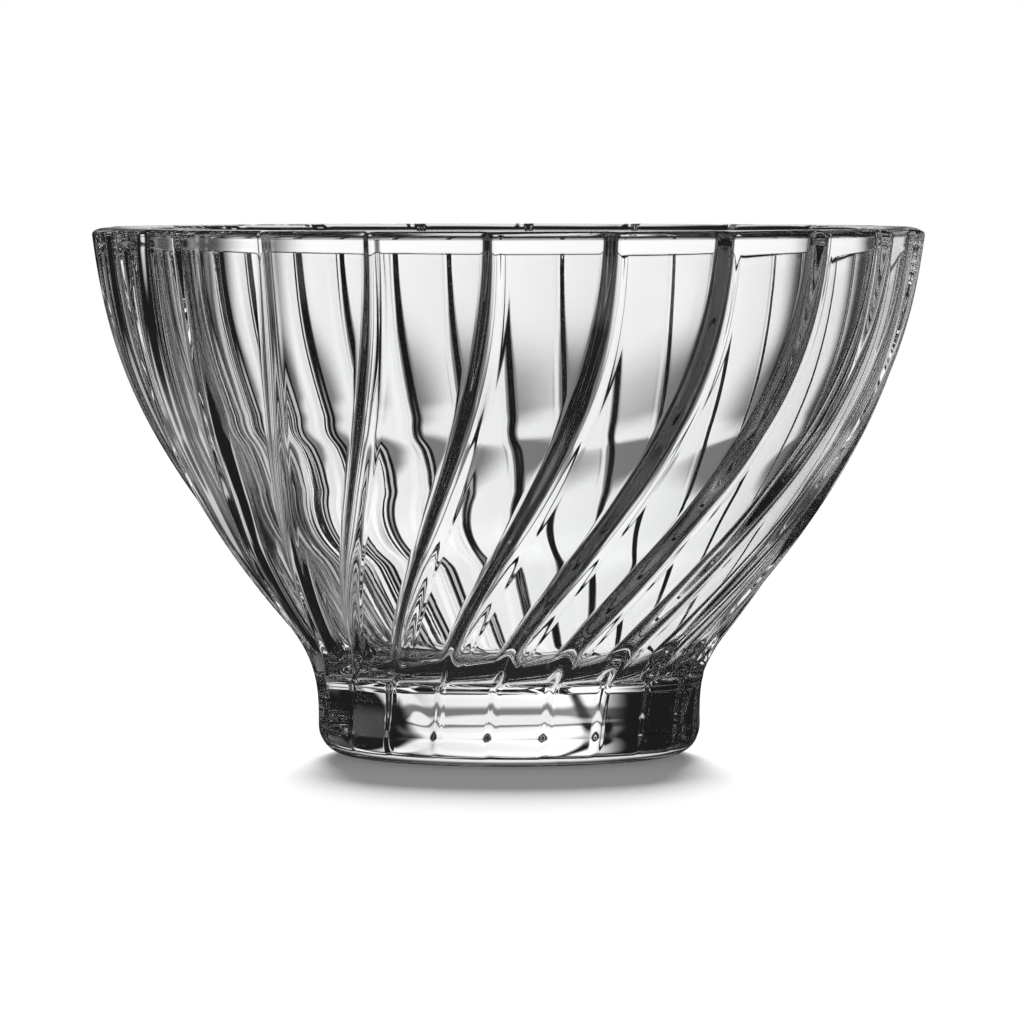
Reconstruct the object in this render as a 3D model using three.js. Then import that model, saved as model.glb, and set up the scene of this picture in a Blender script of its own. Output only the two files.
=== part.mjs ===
// Footed bowl of clear pressed glass, with ribs that swirl down the outside.
// Millimetres, +Z up, origin at the middle of the ring that the foot rests on.
// Angles run from -Y towards +X, so a positive angle lies to the right seen from the front.

import * as THREE from 'three';

const degrees = Math.PI / 180;

// Overall sizes
const RIM_RADIUS = 62.6;          // over the rib crests, just under the rim
const TOTAL_HEIGHT = 79;
const FOOT_HEIGHT = 12;           // the plane where the bowl is fused to the foot

// Outside curve of the bowl, over the rib crests
const NECK_RADIUS = 29.4;         // bowl and foot meet at this radius
const NECK_RISE = 6;              // height of the hollow curve above the foot
const NECK_FLARE = 3.1;           // how far that curve spreads outwards
const BELLY_LEAN = 38.5 * degrees;
const BELLY_REACH = 36.9;         // length over which the wall keeps that lean
const RIM_LEAN = 7.5 * degrees;
const RIM_REACH = 18.3;

// Glass thickness, measured level from the rib crests to the smooth inside
const RIM_THICKNESS = 5.4;
const SHOULDER_THICKNESS = 4.9;
const SHOULDER_HEIGHT = 44;       // below this height the wall thins
const BELLY_THICKNESS = 3.9;
const BELLY_HEIGHT = 28;          // and below this one it stays thin
const RIM_ROUND = 1.6;            // height of the rounded lip
const FLOOR_THICKNESS = 1.5;      // glass between the foot and the inside floor
const FLOOR_CORNER = 4;           // height at which the inside wall turns into the floor

// Ribs: a round crest, with a panel to its right that starts high and ends low at the next rib
const RIB_COUNT = 22;
const RIB_PHASE = -1.8 * degrees; // the rib nearest the front, at the rim
const RIB_TWIST = 34.2 * degrees; // turn from rim to foot
const TWIST_POWER = 2.45;         // the swirl tightens towards the foot
const SHORT_FLANK = 1.3;          // crest to the panel's high edge, along the wall
const LONG_FLANK = 2.2;           // crest to the panel's low edge, along the wall
const PANEL_HIGH_DROP = 0.5;      // crest down to the panel's high edge
const PANEL_LOW_DROP = 1.9;       // crest down to the panel's low edge
const RIB_RUNOUT = 3;             // the ribs sink into the neck over this height

// Foot
const FOOT_TAPER = 0.7;           // the wall narrows by this much from the neck down to its rounded edge
const FOOT_EDGE_ROUND = 4.3;
const REST_WIDTH = 5.4;           // flat ring that the bowl stands on
const RECESS_DEPTH = 1.2;

// Fineness of the surface
const BELLY_STEPS = 11;
const CURVE_STEPS = 4;
const RIM_STEPS = 6;
const RIB_COLUMNS = 6;

const rimBase = TOTAL_HEIGHT - RIM_ROUND;
const floorHeight = FOOT_HEIGHT + FLOOR_THICKNESS;

function point(radius, height) {
  return new THREE.Vector2(radius, height);
}

function glass() {
  return new THREE.MeshStandardMaterial({
    color: 0xe9f0ee,
    roughness: 0.03,
    metalness: 0,
    transparent: true,
    opacity: 0.35,
  });
}

// A lathed solid stands on three's Y axis, so it is tipped up onto Z
function lathe(profile, columns) {
  return new THREE.LatheGeometry(profile, columns).rotateX(Math.PI / 2);
}

// The bowl's outside curve from the neck up to the rim
function bellyCurve() {
  const low = point(NECK_RADIUS + NECK_FLARE, FOOT_HEIGHT + NECK_RISE);
  const high = point(RIM_RADIUS, rimBase);
  const lowReach = point(Math.sin(BELLY_LEAN), Math.cos(BELLY_LEAN)).multiplyScalar(BELLY_REACH);
  const highReach = point(Math.sin(RIM_LEAN), Math.cos(RIM_LEAN)).multiplyScalar(RIM_REACH);
  return new THREE.CubicBezierCurve(low, low.clone().add(lowReach), high.clone().sub(highReach), high);
}

// The hollow curve from the foot's edge into the belly
function neckCurve() {
  const low = point(NECK_RADIUS, FOOT_HEIGHT);
  const high = point(NECK_RADIUS + NECK_FLARE, FOOT_HEIGHT + NECK_RISE);
  const corner = point(NECK_RADIUS, high.y - NECK_FLARE / Math.tan(BELLY_LEAN));
  return new THREE.QuadraticBezierCurve(low, corner, high);
}

// Thickness of the wall at a height
function thickness(height) {
  const above = Math.max(0, (height - SHOULDER_HEIGHT) / (rimBase - SHOULDER_HEIGHT));
  const below = 1 - THREE.MathUtils.smoothstep(height, BELLY_HEIGHT, SHOULDER_HEIGHT);
  return SHOULDER_THICKNESS
    + above * (RIM_THICKNESS - SHOULDER_THICKNESS)
    + below * (BELLY_THICKNESS - SHOULDER_THICKNESS);
}

// The inside wall follows the outside one, from the rim down to the floor's corner
function insideWall(belly) {
  return belly
    .filter((outside) => outside.y > floorHeight + FLOOR_CORNER)
    .map((outside) => point(outside.x - thickness(outside.y), outside.y))
    .reverse();
}

// A round corner that leads the inside wall into the floor
function insideCorner(wall) {
  const above = wall.at(-2);
  const start = wall.at(-1);
  const slope = (above.x - start.x) / (above.y - start.y);
  const corner = point(start.x - (start.y - floorHeight) * slope, floorHeight);
  const end = point(corner.x - start.distanceTo(corner), floorHeight);
  return new THREE.QuadraticBezierCurve(start, corner, end);
}

// How far the swirl has turned at a height
function twist(height) {
  const share = THREE.MathUtils.clamp((rimBase - height) / (rimBase - FOOT_HEIGHT), 0, 1);
  return -RIB_TWIST * share ** TWIST_POWER;
}

// Columns of one rib and the panel to its right, as angles from the crest and drops below it
function ribSection(radius) {
  const pitch = 2 * Math.PI / RIB_COUNT;
  const short = SHORT_FLANK / radius;
  const long = LONG_FLANK / radius;
  const panelSag = radius * (1 - Math.cos((pitch - short - long) / 2));
  return [
    { angle: 0, drop: 0 },
    { angle: short / 2, drop: PANEL_HIGH_DROP / 4 },
    { angle: short, drop: PANEL_HIGH_DROP },
    { angle: (pitch + short - long) / 2, drop: (PANEL_HIGH_DROP + PANEL_LOW_DROP) / 2 + panelSag },
    { angle: pitch - long, drop: PANEL_LOW_DROP },
    { angle: pitch - long / 2, drop: PANEL_LOW_DROP / 4 },
  ];
}

// Presses the ribs into the outside of a lathed bowl, whose profile holds a share of relief per point
function pressRibs(geometry, profile) {
  const place = geometry.attributes.position;
  const columns = RIB_COUNT * RIB_COLUMNS;
  for (let column = 0; column <= columns; column += 1) {
    const rib = Math.floor(column / RIB_COLUMNS) % RIB_COUNT;
    profile.forEach(({ radius, height, relief }, ring) => {
      const { angle, drop } = ribSection(Math.max(radius, NECK_RADIUS))[column % RIB_COLUMNS];
      const turn = RIB_PHASE + rib * 2 * Math.PI / RIB_COUNT + angle + (relief > 0 ? twist(height) : 0);
      const reach = radius - relief * drop;
      place.setXYZ(column * profile.length + ring, reach * Math.sin(turn), -reach * Math.cos(turn), height);
    });
  }
  return geometry;
}

function bowl() {
  const neck = neckCurve().getPoints(CURVE_STEPS);
  const belly = bellyCurve().getPoints(BELLY_STEPS);
  const wall = insideWall(belly);
  const corner = insideCorner(wall).getPoints(CURVE_STEPS);
  const lip = new THREE.EllipseCurve(RIM_RADIUS - RIM_THICKNESS / 2, rimBase, RIM_THICKNESS / 2, RIM_ROUND, 0, Math.PI);

  const outside = [...neck, ...belly.slice(1)].map(({ x, y }) => ({
    radius: x,
    height: y,
    relief: THREE.MathUtils.smoothstep(y, FOOT_HEIGHT, FOOT_HEIGHT + RIB_RUNOUT),
  }));
  const rim = lip.getPoints(RIM_STEPS).slice(1, -1).map(({ x, y }, step) => ({
    radius: x,
    height: y,
    relief: 1 - (step + 1) / RIM_STEPS,
  }));
  const inside = [...wall, ...corner.slice(1), point(0, floorHeight)].map(({ x, y }) => ({
    radius: x,
    height: y,
    relief: 0,
  }));
  const profile = [{ radius: 0, height: FOOT_HEIGHT, relief: 0 }, ...outside, ...rim, ...inside];
  const outline = profile.map(({ radius, height }) => point(radius, height));
  const mesh = new THREE.Mesh(pressRibs(lathe(outline, RIB_COUNT * RIB_COLUMNS), profile), glass());
  mesh.name = 'bowl';
  return mesh;
}

function foot() {
  const restRadius = NECK_RADIUS - FOOT_TAPER - FOOT_EDGE_ROUND;
  const recess = new THREE.EllipseCurve(0, 0, restRadius - REST_WIDTH, RECESS_DEPTH, Math.PI / 2, 0, true);
  const edge = new THREE.EllipseCurve(
    restRadius, FOOT_EDGE_ROUND, FOOT_EDGE_ROUND, FOOT_EDGE_ROUND, -Math.PI / 2, 0,
  );
  const outline = [
    ...recess.getPoints(CURVE_STEPS),
    ...edge.getPoints(RIM_STEPS),
    point(NECK_RADIUS, FOOT_HEIGHT),
    point(0, FOOT_HEIGHT),
  ];
  const mesh = new THREE.Mesh(lathe(outline, RIB_COUNT * CURVE_STEPS), glass());
  mesh.name = 'foot';
  return mesh;
}

const group = new THREE.Group();
group.add(bowl(), foot());

export default group;
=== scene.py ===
import math

import bpy
from mathutils import Euler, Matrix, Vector


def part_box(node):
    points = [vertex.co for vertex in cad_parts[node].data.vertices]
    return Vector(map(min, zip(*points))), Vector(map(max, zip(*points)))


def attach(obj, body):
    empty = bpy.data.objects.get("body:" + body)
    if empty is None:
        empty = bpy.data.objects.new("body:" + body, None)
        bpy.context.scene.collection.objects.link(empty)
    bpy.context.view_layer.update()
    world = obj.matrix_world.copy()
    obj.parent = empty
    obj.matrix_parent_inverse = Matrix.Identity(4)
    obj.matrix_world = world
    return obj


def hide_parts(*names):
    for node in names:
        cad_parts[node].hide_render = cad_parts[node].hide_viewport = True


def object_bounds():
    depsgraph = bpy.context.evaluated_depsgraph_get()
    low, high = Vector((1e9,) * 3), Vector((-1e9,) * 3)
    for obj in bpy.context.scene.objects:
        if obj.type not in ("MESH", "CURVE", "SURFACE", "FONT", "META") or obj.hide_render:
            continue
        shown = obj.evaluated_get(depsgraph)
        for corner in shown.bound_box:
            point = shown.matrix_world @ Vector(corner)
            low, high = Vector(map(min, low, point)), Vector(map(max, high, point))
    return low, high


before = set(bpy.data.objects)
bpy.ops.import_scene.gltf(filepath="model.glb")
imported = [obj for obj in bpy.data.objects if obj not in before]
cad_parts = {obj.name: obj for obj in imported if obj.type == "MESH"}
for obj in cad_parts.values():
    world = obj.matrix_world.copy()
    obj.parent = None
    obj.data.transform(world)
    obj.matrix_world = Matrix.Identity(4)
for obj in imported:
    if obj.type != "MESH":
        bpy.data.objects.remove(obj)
cad_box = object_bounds()


# Foot
# The foot is a thick disc of clear pressed glass with a rounded lower edge and a shallow recess beneath,
# so that it stands on a ring. It is fused to the bowl at the neck, and the ribs go on down it as faint
# flat sides.
MM = 0.001                          # the lengths of the foot and the bowl below are in millimetres
NECK_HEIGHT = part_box("foot")[1].z / MM
NECK_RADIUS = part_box("foot")[1].x / MM
TOTAL_HEIGHT = cad_box[1][2] / MM
RIM_ROUND = 1.1                     # height of the rounded lip
rim_base = TOTAL_HEIGHT - RIM_ROUND

FOOT_TAPER = 0.7                    # the wall narrows by this much from the neck down
FOOT_EDGE_ROUND = 4.3
FOOT_RELIEF = 0.13                  # share of the ribs' depth that is left on the foot
FOOT_LEAN = 0.13                    # sideways lean of the flat sides
FLAT_START = 1                      # the flat sides appear between these two heights
FLAT_FULL = 4
REST_WIDTH = 5.4                    # flat ring that the bowl stands on
RECESS_DEPTH = 1.2
RECESS_STEPS = 12
EDGE_STEPS = 18
WALL_STEPS = 16

RIB_COUNT = 22
RIB_PITCH = 2 * math.pi / RIB_COUNT
RIB_PHASE = math.radians(-1.8)      # the rib nearest the front, at the rim
RIB_TWIST = math.radians(34.2)      # turn from rim to neck
TWIST_POWER = 2.45
SHORT_FLANK = 2                     # crest to the panel's high edge
LONG_FLANK = 3.2                    # crest to the panel's low edge
PANEL_HIGH_DROP = 0.5
PANEL_LOW_DROP = 1.9
RIM_NARROWING = 0.25                # share by which the flanks narrow towards the rim
RIM_NARROWING_START = 55
NECK_NARROWING = 0.55               # and share by which they narrow down to the neck
NECK_NARROWING_RISE = 5
SHORT_COLUMNS = 6
PANEL_COLUMNS = 8
LONG_COLUMNS = 10

GLASS_IOR = 1.52
TINT_SIZE = 35
POLISH_SIZE = 9
MOST_ROUGHNESS = 0.02
RIPPLE_SIZE = 16
FINE_RIPPLE_SIZE = 3
FINE_RIPPLE_SHARE = 0.06
RIPPLE_STRENGTH = 0.12
RIPPLE_DEPTH = 0.2


class Socket:
    """One output of a shader node, which takes part in Python expressions."""

    def __init__(self, tree, link=None):
        self.tree = tree
        self.link = link

    def add(self, kind, settings, values, output=0):
        node = self.tree.nodes.new("ShaderNode" + kind)
        for name, setting in settings.items():
            setattr(node, name, setting)
        for name, value in values.items():
            if isinstance(value, Socket):
                self.tree.links.new(value.link, node.inputs[name])
            else:
                node.inputs[name].default_value = value
        return Socket(self.tree, node.outputs[output] if node.outputs else None)

    def math(self, operation, first, second):
        return self.add("Math", {"operation": operation}, {0: first, 1: second})

    def __add__(self, other):
        return self.math("ADD", self, other)

    def __radd__(self, other):
        return self.math("ADD", other, self)

    def __sub__(self, other):
        return self.math("SUBTRACT", self, other)

    def __rsub__(self, other):
        return self.math("SUBTRACT", other, self)

    def __mul__(self, other):
        return self.math("MULTIPLY", self, other)

    def __rmul__(self, other):
        return self.math("MULTIPLY", other, self)

    def rise(self, low, high):
        values = {"Value": self, "From Min": low, "From Max": high}
        return self.add("MapRange", {"interpolation_type": "SMOOTHSTEP"}, values)

    def noise(self, size, detail):
        place = self.add("TexCoord", {}, {}, "Object")
        values = {"Vector": place, "Scale": 1 / (size * MM), "Detail": detail, "Roughness": 0.5}
        return self.add("TexNoise", {}, values, "Fac")


# Polished glass: a faint tint in clouds, a polish that is a little duller in places and a slight ripple
def clear_glass(name, pale, deep):
    material = bpy.data.materials.new(name)
    material.use_nodes = True
    tree = material.node_tree
    shader = tree.nodes["Principled BSDF"]
    shader.inputs["Transmission Weight"].default_value = 1
    shader.inputs["IOR"].default_value = GLASS_IOR
    start = Socket(tree)
    cloud = start.noise(TINT_SIZE, 2).rise(0.3, 0.7)
    tint = start.add("Mix", {"data_type": "RGBA"}, {"Factor": cloud, 6: pale, 7: deep}, 2)
    polish = start.noise(POLISH_SIZE, 3).rise(0.45, 0.8) * MOST_ROUGHNESS
    ripple = start.noise(RIPPLE_SIZE, 1) + start.noise(FINE_RIPPLE_SIZE, 1) * FINE_RIPPLE_SHARE
    bump = start.add("Bump", {}, {
        "Strength": RIPPLE_STRENGTH,
        "Distance": RIPPLE_DEPTH * MM,
        "Height": ripple,
    })
    tree.links.new(tint.link, shader.inputs["Base Color"])
    tree.links.new(polish.link, shader.inputs["Roughness"])
    tree.links.new(bump.link, shader.inputs["Normal"])
    return material


# Where the two pieces are fused there is no surface to see
def fused_seam(name):
    material = bpy.data.materials.new(name)
    material.use_nodes = True
    shader = material.node_tree.nodes["Principled BSDF"]
    shader.inputs["Transmission Weight"].default_value = 1
    shader.inputs["Alpha"].default_value = 0
    return material


seam = fused_seam("fused_seam")


# Skins closed rings of points and closes both ends with a fan of faces round a middle point. The first or
# the last fan is the seam, which is flat and has a sharp edge round it
def glass_piece(name, rings, middles, seam_first, material):
    columns = len(rings[0])
    points = [point for ring in rings for point in ring] + middles
    bottom = len(rings) * columns
    last = bottom - columns
    faces = []
    for low in range(0, last, columns):
        high = low + columns
        for column in range(columns):
            after = (column + 1) % columns
            faces.append((low + column, low + after, high + after, high + column))
    first_fan = len(faces)
    for column in range(columns):
        faces.append((bottom, (column + 1) % columns, column))
    for column in range(columns):
        faces.append((last + column, last + (column + 1) % columns, bottom + 1))
    mesh = bpy.data.meshes.new(name)
    mesh.from_pydata([Vector(point) * MM for point in points], [], faces)
    mesh.shade_smooth()
    mesh.materials.append(material)
    mesh.materials.append(seam)
    seam_fan = first_fan if seam_first else first_fan + columns
    for face in range(seam_fan, seam_fan + columns):
        mesh.polygons[face].material_index = 1
        mesh.polygons[face].use_smooth = False
    seam_ring = 0 if seam_first else last
    for edge in mesh.edges:
        if all(seam_ring <= end < seam_ring + columns for end in edge.vertices):
            edge.use_edge_sharp = True
    piece = bpy.data.objects.new(name, mesh)
    bpy.context.scene.collection.objects.link(piece)
    return piece


def smooth(value, low, high):
    share = min(1, max(0, (value - low) / (high - low)))
    return share * share * (3 - 2 * share)


# Columns of one rib and the flat panel to its right, as angles from the crest and drops below it
def rib_section(radius, height):
    width = 1 - RIM_NARROWING * smooth(height, RIM_NARROWING_START, rim_base)
    width -= NECK_NARROWING * (1 - smooth(height, NECK_HEIGHT, NECK_HEIGHT + NECK_NARROWING_RISE))
    short = SHORT_FLANK * width / radius
    long = LONG_FLANK * width / radius
    low_turn = RIB_PITCH - long
    high = (radius - PANEL_HIGH_DROP) * Vector((math.sin(short), math.cos(short)))
    low = (radius - PANEL_LOW_DROP) * Vector((math.sin(low_turn), math.cos(low_turn)))
    section = []
    for k in range(SHORT_COLUMNS):
        section.append((short * k / SHORT_COLUMNS, PANEL_HIGH_DROP * smooth(k, 0, SHORT_COLUMNS)))
    for k in range(PANEL_COLUMNS):
        share = (1 - math.cos(math.pi * k / PANEL_COLUMNS)) / 2
        place = short + (RIB_PITCH - short - long) * share
        section.append((place, radius - high.lerp(low, share).length))
    for k in range(LONG_COLUMNS):
        share = k / LONG_COLUMNS
        climb = share ** 3 * (share * (6 * share - 15) + 10)
        section.append((RIB_PITCH - long * (1 - share), PANEL_LOW_DROP * (1 - climb)))
    return section


# The swirl tightens towards the neck, and the foot's flat sides lean only a little
def swirl(height):
    share = min(1, max(0, (rim_base - height) / (rim_base - NECK_HEIGHT)))
    lean = FOOT_LEAN * max(0, NECK_HEIGHT - height) / NECK_RADIUS
    return -RIB_TWIST * share ** TWIST_POWER - lean


def ribbed_ring(radius, height, relief):
    section = rib_section(max(radius, NECK_RADIUS), height)
    turn = RIB_PHASE + swirl(height)
    ring = []
    for rib in range(RIB_COUNT):
        for angle, drop in section:
            reach = radius - relief * drop
            place = turn + rib * RIB_PITCH + angle
            ring.append((reach * math.sin(place), -reach * math.cos(place), height))
    return ring


rest_radius = NECK_RADIUS - FOOT_TAPER - FOOT_EDGE_ROUND
foot_outline = []
for step in range(1, RECESS_STEPS + 1):
    turn = math.pi / 2 * step / RECESS_STEPS
    foot_outline.append(((rest_radius - REST_WIDTH) * math.sin(turn), RECESS_DEPTH * math.cos(turn)))
for step in range(EDGE_STEPS + 1):
    turn = math.pi / 2 * step / EDGE_STEPS
    foot_outline.append((
        rest_radius + FOOT_EDGE_ROUND * math.sin(turn),
        FOOT_EDGE_ROUND * (1 - math.cos(turn)),
    ))
for step in range(1, WALL_STEPS + 1):
    share = step / WALL_STEPS
    foot_outline.append((
        NECK_RADIUS - FOOT_TAPER * (1 - share ** 3),
        FOOT_EDGE_ROUND + (NECK_HEIGHT - FOOT_EDGE_ROUND) * share,
    ))
foot_rings = []
for radius, height in foot_outline:
    relief = FOOT_RELIEF * smooth(height, FLAT_START, FLAT_FULL) * (radius > rest_radius)
    foot_rings.append(ribbed_ring(radius, height, relief))
foot = glass_piece(
    "foot_glass_body",
    foot_rings,
    [(0, 0, RECESS_DEPTH), (0, 0, NECK_HEIGHT)],
    False,
    clear_glass("foot_glass", (0.985, 0.99, 0.988, 1), (0.965, 0.975, 0.972, 1)),
)
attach(foot, "root")
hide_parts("foot")


# Bowl
# The bowl is one pressed gather of clear glass, fused to the foot: a flaring wall with a fire-polished rim,
# smooth inside. Outside, 22 ribs swirl down to the neck, each with a flat panel to its right that falls to
# the next rib.
RIM_RADIUS = 62.55                  # over the rib crests
NECK_RISE = 6                       # height of the hollow curve above the foot
NECK_FLARE = 3.1                    # how far that curve spreads outwards
BELLY_LEAN = math.radians(38.5)
BELLY_REACH = 36.9                  # length over which the wall keeps that lean
RIM_LEAN = math.radians(7.5)
RIM_REACH = 18.3
RIB_RUNOUT = 0.6                    # the ribs end over this height above the neck
FLOOR_HEIGHT = 13.5
FLOOR_CORNER = 4                    # height at which the inside wall turns into the floor
NECK_STEPS = 40
BELLY_STEPS = 100
LIP_STEPS = 24
CORNER_STEPS = 16
FLOOR_STEPS = 6

RIM_THICKNESS = 5.4
RIM_FLARE = 0.055                   # the wall thickens upwards at this slope
FLARE_HEIGHT = 62                   # above this height
FLARE_BLEND = 3.2
RIM_BEAD = 0.26                     # a slight bead inside the rim
BEAD_START = 76
UPPER_STEP = 0.09                   # the wall gains this much between the two heights
UPPER_STEP_RANGE = (48.5, 52.5)
MIDDLE_SWELL = 0.16                 # and loses this much
MIDDLE_SWELL_RANGE = (42.8, 50)
LOWER_STEP = 0.95                   # and gains this much
LOWER_STEP_RANGE = (30.9, 42)
LIP_FULLNESS = 0.755                # the lip's curve rises to this share of its handles


def curve(points, steps):
    count = len(points) - 1
    line = []
    for step in range(steps + 1):
        t = step / steps
        weights = [math.comb(count, k) * t ** k * (1 - t) ** (count - k) for k in range(count + 1)]
        line.append(tuple(sum(w * p[axis] for w, p in zip(weights, points)) for axis in (0, 1)))
    return line


belly_low = Vector((NECK_RADIUS + NECK_FLARE, NECK_HEIGHT + NECK_RISE))
belly_high = Vector((RIM_RADIUS, rim_base))
belly_slope = math.tan(BELLY_LEAN)
foot_slope = 3 * FOOT_TAPER / (NECK_HEIGHT - FOOT_EDGE_ROUND)
corner_rise = (NECK_FLARE - belly_slope * NECK_RISE) / (foot_slope - belly_slope)
neck_corner = Vector((NECK_RADIUS + foot_slope * corner_rise, NECK_HEIGHT + corner_rise))
neck_line = curve([Vector((NECK_RADIUS, NECK_HEIGHT)), neck_corner, belly_low], NECK_STEPS)
belly_line = curve([
    belly_low,
    belly_low + BELLY_REACH * Vector((math.sin(BELLY_LEAN), math.cos(BELLY_LEAN))),
    belly_high - RIM_REACH * Vector((math.sin(RIM_LEAN), math.cos(RIM_LEAN))),
    belly_high,
], BELLY_STEPS)


# How the thickness changes with height: the wall flares to the rim, and its slight steps draw grey bands
def thickness(height):
    flare = RIM_FLARE * FLARE_BLEND * math.log1p(math.exp((height - FLARE_HEIGHT) / FLARE_BLEND))
    bead = RIM_BEAD * smooth(height, BEAD_START, TOTAL_HEIGHT)
    upper = UPPER_STEP * smooth(height, *UPPER_STEP_RANGE)
    middle = MIDDLE_SWELL * smooth(height, *MIDDLE_SWELL_RANGE)
    lower = LOWER_STEP * smooth(height, *LOWER_STEP_RANGE)
    return flare + bead + upper - middle + lower


wall_extra = RIM_THICKNESS - thickness(rim_base)
wall_line = [
    (x - thickness(y) - wall_extra, y)
    for x, y in reversed(belly_line)
    if y > FLOOR_HEIGHT + FLOOR_CORNER
]
lip_reach = RIM_ROUND / LIP_FULLNESS / math.cos(RIM_LEAN)
inside_top = Vector(wall_line[0])
inside_lean = (inside_top - Vector(wall_line[2])).normalized()
lip_line = curve([
    belly_high,
    belly_high + lip_reach * Vector((math.sin(RIM_LEAN), math.cos(RIM_LEAN))),
    inside_top + lip_reach * inside_lean,
    inside_top,
], LIP_STEPS)
wall_end = Vector(wall_line[-1])
wall_slope = (wall_line[-3][0] - wall_end.x) / (wall_line[-3][1] - wall_end.y)
floor_corner = Vector((wall_end.x - (wall_end.y - FLOOR_HEIGHT) * wall_slope, FLOOR_HEIGHT))
floor_start = floor_corner - Vector(((wall_end - floor_corner).length, 0))
corner_line = curve([wall_end, floor_corner, floor_start], CORNER_STEPS)
floor_line = [(floor_start.x * (1 - step / FLOOR_STEPS), FLOOR_HEIGHT) for step in range(1, FLOOR_STEPS)]

bowl_rings = []
for radius, height in neck_line + belly_line[1:]:
    relief = FOOT_RELIEF + (1 - FOOT_RELIEF) * smooth(height, NECK_HEIGHT, NECK_HEIGHT + RIB_RUNOUT)
    bowl_rings.append(ribbed_ring(radius, height, relief))
for step, (radius, height) in enumerate(lip_line[1:-1]):
    bowl_rings.append(ribbed_ring(radius, height, 1 - smooth(step, 0, LIP_STEPS - 2)))
for radius, height in wall_line + corner_line[1:] + floor_line:
    bowl_rings.append(ribbed_ring(radius, height, 0))
bowl = glass_piece(
    "bowl_glass_body",
    bowl_rings,
    [(0, 0, NECK_HEIGHT), (0, 0, FLOOR_HEIGHT)],
    True,
    clear_glass("bowl_glass", (0.99, 0.993, 0.992, 1), (0.975, 0.983, 0.98, 1)),
)
# Light passes the clear wall, so it throws no shadow on the table
bowl.visible_diffuse = False
bowl.visible_shadow = False
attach(bowl, "root")
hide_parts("bowl")


# Table top
# A white table top, not part of the bowl, that keeps the soft shadow of the foot. Seen through the glass it
# is open, but for a dark disc of painted shade under the foot and a painted pale pool of light behind it.
# Lengths from here on are in metres.
WHITE = (1, 1, 1, 1)
TABLE_RADIUS = 1.2
TABLE_SIDES = 96
TABLE_DROP = 0.0002                 # keeps it clear of the foot's resting ring
TABLE_WHITE = (0.8, 0.8, 0.8, 1)
TABLE_GLOW = 0.15
# painted shade: the dim glow of the dark disc under the foot, seen through the glass
PAINTED_SHADE_LIGHT = 0.02
PAINTED_SHADE_RANGE = (0.024, 0.036)
POOL_LIGHT = 0.95
POOL_HALF_WIDTH = 0.025
POOL_EDGE = 0.02
POOL_START_RANGE = (0.03, 0.05)
POOL_END_RANGE = (0.15, 0.25)


# Camera rays, and rays that have met the glass
def light_path(start):
    seen = start.add("LightPath", {}, {}, "Is Camera Ray")
    reflected = start.add("LightPath", {}, {}, "Is Glossy Ray")
    refracted = start.add("LightPath", {}, {}, "Is Transmission Ray")
    return seen, start.math("MAXIMUM", reflected, refracted) * (1 - seen)


def between(value, low, high, edge):
    return value.rise(low - edge / 2, low + edge / 2) * (1 - value.rise(high - edge / 2, high + edge / 2))


def along(vector, axis):
    return vector.add("SeparateXYZ", {}, {0: vector}, axis)


def stage_piece(name, points, faces, material):
    mesh = bpy.data.meshes.new(name)
    mesh.from_pydata(points, [], faces)
    mesh.materials.append(material)
    piece = bpy.data.objects.new(name, mesh)
    bpy.context.scene.collection.objects.link(piece)
    return piece


table_white = bpy.data.materials.new("table_white")
table_white.use_nodes = True
table_white.node_tree.nodes.clear()
start = Socket(table_white.node_tree)
seen, through_glass = light_path(start)
spot = start.add("NewGeometry", {}, {}, "Position")
reach = start.add("VectorMath", {"operation": "LENGTH"}, {0: spot}, "Value")
# painted shade: rays through the glass see a near-black disc under the foot in place of the table
painted_shade_disc = 1 - reach.rise(*PAINTED_SHADE_RANGE)
behind = along(spot, "Y")
# painted light: a pale glowing pool on the table behind the foot, seen through the glass
pool = between(along(spot, "X"), -POOL_HALF_WIDTH, POOL_HALF_WIDTH, POOL_EDGE)
pool = pool * behind.rise(*POOL_START_RANGE) * (1 - behind.rise(*POOL_END_RANGE))
matt = start.add("BsdfDiffuse", {}, {"Color": TABLE_WHITE})
glow = start.add("Emission", {}, {"Color": WHITE, "Strength": TABLE_GLOW})
bright = start.add("AddShader", {}, {0: matt, 1: glow})
open_table = start.add("BsdfTransparent", {}, {})
pool_light = start.add("Emission", {}, {"Color": WHITE, "Strength": POOL_LIGHT})
painted_foot_shade = start.add("Emission", {}, {"Color": WHITE, "Strength": PAINTED_SHADE_LIGHT})
outside = start.add("MixShader", {}, {"Fac": seen, 1: matt, 2: bright})
beside = start.add("MixShader", {}, {"Fac": pool, 1: open_table, 2: pool_light})
inside = start.add("MixShader", {}, {"Fac": painted_shade_disc, 1: beside, 2: painted_foot_shade})
surface = start.add("MixShader", {}, {"Fac": through_glass, 1: outside, 2: inside})
start.add("OutputMaterial", {}, {"Surface": surface})
table_turns = [2 * math.pi * k / TABLE_SIDES for k in range(TABLE_SIDES)]
stage_piece(
    "table_top",
    [(TABLE_RADIUS * math.cos(turn), TABLE_RADIUS * math.sin(turn), -TABLE_DROP) for turn in table_turns],
    [tuple(range(TABLE_SIDES))],
    table_white,
)


# Studio
# Clear glass is lit from behind: a white panel stands behind the bowl, dimmer towards the table, with soft
# dark flags on both sides. Pale cards stand where other views look through, and a low lamp behind throws the
# shadow. Angles are in degrees: a bearing from straight behind the bowl and a lift above the horizon.
PANEL_SIDES = (-21, 22)
PANEL_EDGE = 13
PANEL_LOW_TONE = 0.22
PANEL_MIDDLE_TONE = 0.8
PANEL_MIDDLE_RANGE = (-0.6, 2.3)
PANEL_TOP_TONE = 0.15
PANEL_TOP_RANGE = (4, 12)
PANEL_BOTTOM_FADE = (-6, -2)
PANEL_TOP_FADE = (18, 28)
PANEL_FALL = 0.008                  # the panel dims to the right by this share per degree
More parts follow.
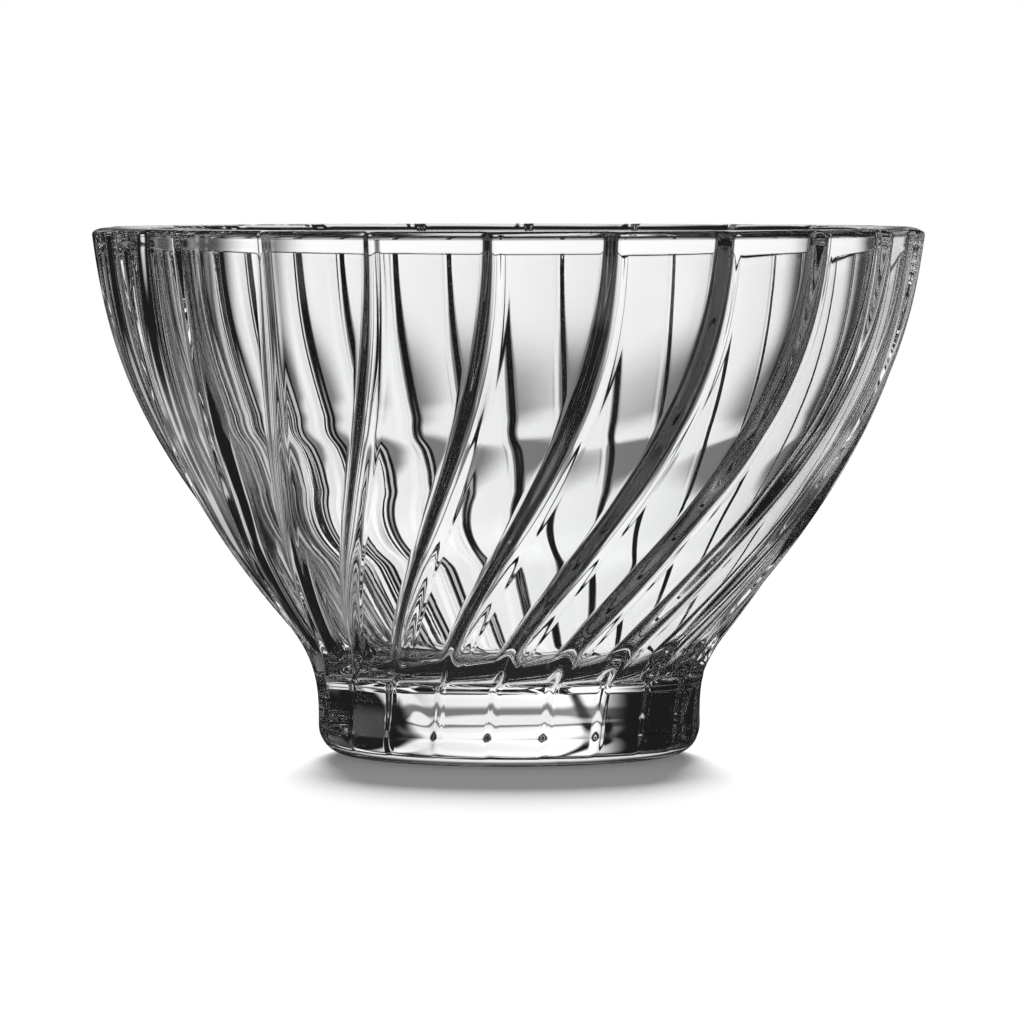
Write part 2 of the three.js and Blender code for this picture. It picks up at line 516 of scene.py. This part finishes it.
# Bearing, half width, lowest and highest lift, brightness
CARDS = [(-90, 12, -10, 8, 1), (-45, 11, -32, -13, 0.62), (135, 12, -22, -8, 1)]
CARD_SIDE_EDGE = 8
CARD_TOP_EDGE = 6
DARK_ROOM = 0.012
SKYLIGHT = 0.125
world = bpy.data.worlds.new("studio")
bpy.context.scene.world = world
world.use_nodes = True
world.node_tree.nodes.clear()
start = Socket(world.node_tree)
aim = start.add("TexCoord", {}, {}, "Generated")
bearing = start.math("ARCTAN2", along(aim, "X"), along(aim, "Y")) * math.degrees(1)
lift = start.add("Math", {"operation": "ARCSINE"}, {0: along(aim, "Z")}) * math.degrees(1)
tone = PANEL_LOW_TONE + PANEL_MIDDLE_TONE * lift.rise(*PANEL_MIDDLE_RANGE)
tone = tone + PANEL_TOP_TONE * lift.rise(*PANEL_TOP_RANGE)
fade = lift.rise(*PANEL_BOTTOM_FADE) * (1 - lift.rise(*PANEL_TOP_FADE))
panel = between(bearing, *PANEL_SIDES, PANEL_EDGE) * tone * fade * (1 - bearing * PANEL_FALL)
surround = DARK_ROOM + panel
for turn, half, low, high, brightness in CARDS:
    card = between(bearing, turn - half, turn + half, CARD_SIDE_EDGE)
    card = card * between(lift, low, high, CARD_TOP_EDGE)
    surround = surround + brightness * card
seen, through_glass = light_path(start)
strength = seen + through_glass * surround + (1 - seen) * (1 - through_glass) * SKYLIGHT
background = start.add("Background", {}, {"Color": WHITE, "Strength": strength})
start.add("OutputWorld", {}, {"Surface": background})

FLAG_DISTANCE = 0.12
FLAG_SHIFT = 0.0035                 # the pair stands this far to the left
FLAG_START = 0.0445                 # each flag begins this far out, is dense from FLAG_FULL
FLAG_FULL = 0.0725                  # to FLAG_FADE, and is gone at FLAG_END
FLAG_FADE = 0.085
FLAG_END = 0.12
FLAG_LOW = 0.02
FLAG_DENSE_HEIGHT = 0.055
FLAG_HIGH = 0.2
FLAG_DENSITY = 0.92
flag_black = bpy.data.materials.new("flag_black")
flag_black.use_nodes = True
flag_black.node_tree.nodes.clear()
start = Socket(flag_black.node_tree)
spot = start.add("NewGeometry", {}, {}, "Position")
place = start.add("Math", {"operation": "ABSOLUTE"}, {0: along(spot, "X") + FLAG_SHIFT})
dense = FLAG_DENSITY * place.rise(FLAG_START, FLAG_FULL) * (1 - place.rise(FLAG_FADE, FLAG_END))
dense = dense * along(spot, "Z").rise(FLAG_LOW, FLAG_DENSE_HEIGHT)
gap = start.add("BsdfTransparent", {}, {})
cloth = start.add("BsdfDiffuse", {}, {"Color": (0.02, 0.02, 0.02, 1)})
surface = start.add("MixShader", {}, {"Fac": dense, 1: gap, 2: cloth})
start.add("OutputMaterial", {}, {"Surface": surface})
flag_points = [
    (side * x - FLAG_SHIFT, FLAG_DISTANCE, z)
    for side in (-1, 1)
    for x in (FLAG_START, FLAG_END)
    for z in (FLAG_LOW, FLAG_HIGH)
]
flags = stage_piece("dark_flags", flag_points, [(0, 2, 3, 1), (4, 6, 7, 5)], flag_black)
flags.visible_camera = False
flags.visible_diffuse = False
flags.visible_shadow = False

LAMP_ENERGY = 14.5
LAMP_SPREAD = math.radians(20)
LAMP_LIFT = math.radians(14)
lamp_data = bpy.data.lights.new("back_light", "SUN")
lamp_data.energy = LAMP_ENERGY
lamp_data.angle = LAMP_SPREAD
lamp = bpy.data.objects.new("back_light", lamp_data)
lamp.rotation_euler = Euler((LAMP_LIFT - math.pi / 2, 0, 0))
lamp.visible_glossy = False
lamp.visible_transmission = False
bpy.context.scene.collection.objects.link(lamp)


# Camera
# It stands a metre in front of the bowl, a little above the rim, and looks slightly down. The pixel values
# are places in the photo.
PICTURE_PIXELS = 1024
LENS_PIXELS = 6820
HORIZON_PIXEL = 158
AXIS_PIXEL = 509.5
PIXEL = 0.15 * MM
CAMERA_HEIGHT = 0.0893
SENSOR_WIDTH = 36
middle_pixel = PICTURE_PIXELS / 2
camera_data = bpy.data.cameras.new("camera")
camera_data.sensor_width = SENSOR_WIDTH
camera_data.lens = SENSOR_WIDTH * LENS_PIXELS / PICTURE_PIXELS
camera_data.clip_start = 0.01
camera = bpy.data.objects.new("camera", camera_data)
camera.location = ((middle_pixel - AXIS_PIXEL) * PIXEL, -LENS_PIXELS * PIXEL, CAMERA_HEIGHT)
look_down = math.atan((middle_pixel - HORIZON_PIXEL) / LENS_PIXELS)
camera.rotation_euler = Euler((math.pi / 2 - look_down, 0, 0))
bpy.context.scene.collection.objects.link(camera)
bpy.context.scene.camera = camera
bpy.context.scene.view_settings.view_transform = "Standard"
# Light goes through many walls of glass before it leaves the bowl
cycles = bpy.context.scene.cycles
cycles.max_bounces = 32
cycles.transmission_bounces = 32
cycles.glossy_bounces = 16
cycles.transparent_max_bounces = 32
